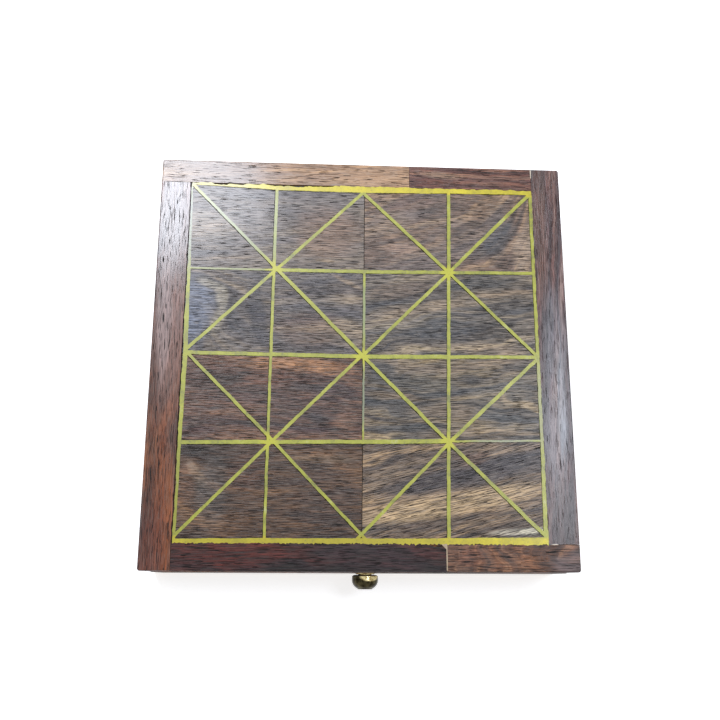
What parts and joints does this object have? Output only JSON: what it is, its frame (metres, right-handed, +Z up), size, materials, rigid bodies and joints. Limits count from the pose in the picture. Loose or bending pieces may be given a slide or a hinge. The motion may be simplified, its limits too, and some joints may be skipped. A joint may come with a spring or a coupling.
{
  "type": "board game case",
  "caption": "Square wooden bagh chal board with filled game lines, on a shallow case whose drawer holds the playing pieces and opens by a brass knob.",
  "frame": {"origin": "centre of the case's underside, on the surface that it stands on", "axes": "+Z up out of the board, -Y towards the player at the drawer, +X to that player's right"},
  "size_m": [0.2032, 0.2111, 0.044],
  "materials": {
    "field_sheesham": "thin sheesham slats, oiled and polished, open pores",
    "pin_steel": "drawn steel pin",
    "case_sheesham": "planed and polished sheesham",
    "plywood": "thin plywood",
    "drawer_wood": "planed sheesham sapwood",
    "brass": "turned and polished brass",
    "goat_boxwood": "turned and lacquered boxwood",
    "velvet": "short velvet",
    "wood_filler": "pale wood filler",
    "line_filler": "olive-yellow filler paste, sanded flush",
    "tiger_rosewood": "turned and lacquered rosewood",
    "border_sheesham": "oiled and polished sheesham, open pores"
  },
  "bodies": {
    "case": {"board_slat_1_left": "field_sheesham", "board_slat_1_right": "field_sheesham", "board_slat_2_left": "field_sheesham", "board_slat_2_right": "field_sheesham", "board_slat_3_left": "field_sheesham", "board_slat_3_right": "field_sheesham", "board_slat_4_left": "field_sheesham", "board_slat_4_right": "field_sheesham", "bottom_pins": "pin_steel", "case_back": "case_sheesham", "case_bottom": "plywood", "case_side_left": "case_sheesham", "case_side_right": "case_sheesham", "core_panel": "plywood", "joint_filler": "wood_filler", "line_inlay": "line_filler", "top_rail_back_long": "border_sheesham", "top_rail_back_short": "border_sheesham", "top_rail_front_long": "border_sheesham", "top_rail_front_short": "border_sheesham", "top_rail_left": "border_sheesham", "top_rail_right": "border_sheesham"},
    "drawer": {"drawer_back": "drawer_wood", "drawer_bottom": "plywood", "drawer_divider": "drawer_wood", "drawer_front": "case_sheesham", "drawer_knob": "brass", "drawer_side_left": "drawer_wood", "drawer_side_right": "drawer_wood", "goat_pieces": "goat_boxwood", "goat_tray_lining": "velvet", "knob_rose": "brass", "knob_screw": "brass", "tiger_pieces": "tiger_rosewood", "tiger_tray_lining": "velvet"}
  },
  "joints": [
    {"name": "drawer_slide", "type": "slide", "parent": "case", "child": "drawer", "axis": [0, -1, 0], "range_m": [0, 0.15]}
  ]
}
